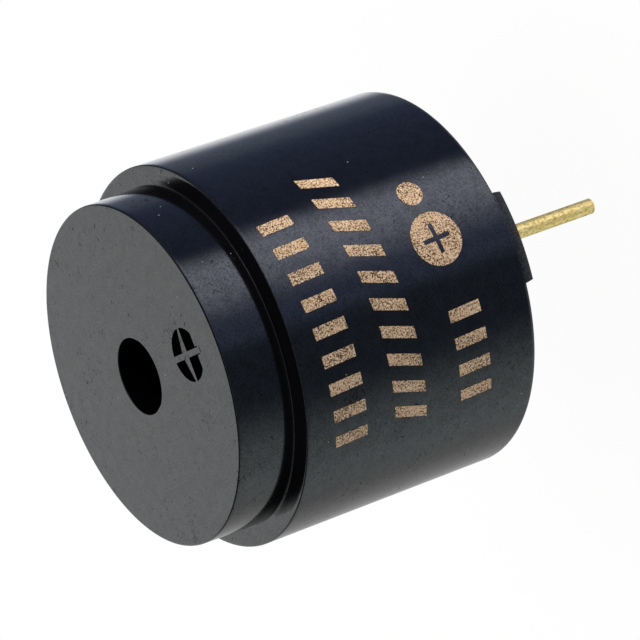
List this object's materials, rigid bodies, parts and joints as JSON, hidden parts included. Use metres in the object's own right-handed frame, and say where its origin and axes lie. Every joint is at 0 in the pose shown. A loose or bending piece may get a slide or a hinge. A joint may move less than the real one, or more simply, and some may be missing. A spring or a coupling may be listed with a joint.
{
  "type": "magnetic buzzer",
  "caption": "Round black moulded magnetic buzzer with a stepped neck, a sound hole in its front face, moulded feet and straight round pins for a circuit board.",
  "frame": {"origin": "on the body axis, at the face of the feet that rests on the board", "axes": "+Z along the body axis towards the sound hole, pins along -Z, positive pin at +X"},
  "size_m": [0.016, 0.016, 0.0205],
  "materials": {
    "case_plastic": "injection-moulded black thermoplastic, semi-gloss with a blue cast",
    "marking_ink": "tan pad-printed ink, speckled",
    "plated_pin": "turned brass, gold-coloured plating",
    "nickel_iron": "rolled nickel-iron foil",
    "soft_steel": "zinc-plated soft steel",
    "ring_brass": "turned brass",
    "ferrite": "sintered ferrite, matt dark grey",
    "bobbin_nylon": "natural nylon",
    "magnet_wire": "enamelled copper wire",
    "fish_paper": "insulating paper",
    "board_laminate": "paper-phenolic laminate",
    "copper": "etched copper foil",
    "chip_epoxy": "black moulded epoxy",
    "tin": "tin solder and tin plating",
    "chip_ceramic": "white alumina",
    "resin": "black cast epoxy"
  },
  "bodies": {
    "root": {"case": "case_plastic", "side_print": "marking_ink", "positive_pin": "plated_pin", "negative_pin": "plated_pin", "diaphragm": "nickel_iron", "armature_disc": "soft_steel", "support_ring": "ring_brass", "ring_magnet": "ferrite", "yoke_plate": "soft_steel", "pole_core": "soft_steel", "coil_bobbin": "bobbin_nylon", "drive_winding": "magnet_wire", "feedback_winding": "magnet_wire", "coil_leads": "magnet_wire", "insulating_washer": "fish_paper", "circuit_board": "board_laminate", "board_tracks": "copper", "transistor_body": "chip_epoxy", "transistor_leads": "tin", "base_resistor": "chip_ceramic", "resistor_caps": "tin", "clamp_diode": "chip_epoxy", "diode_leads": "tin", "pin_solder": "tin", "lead_solder": "tin", "potting_resin": "resin"}
  },
  "joints": []
}
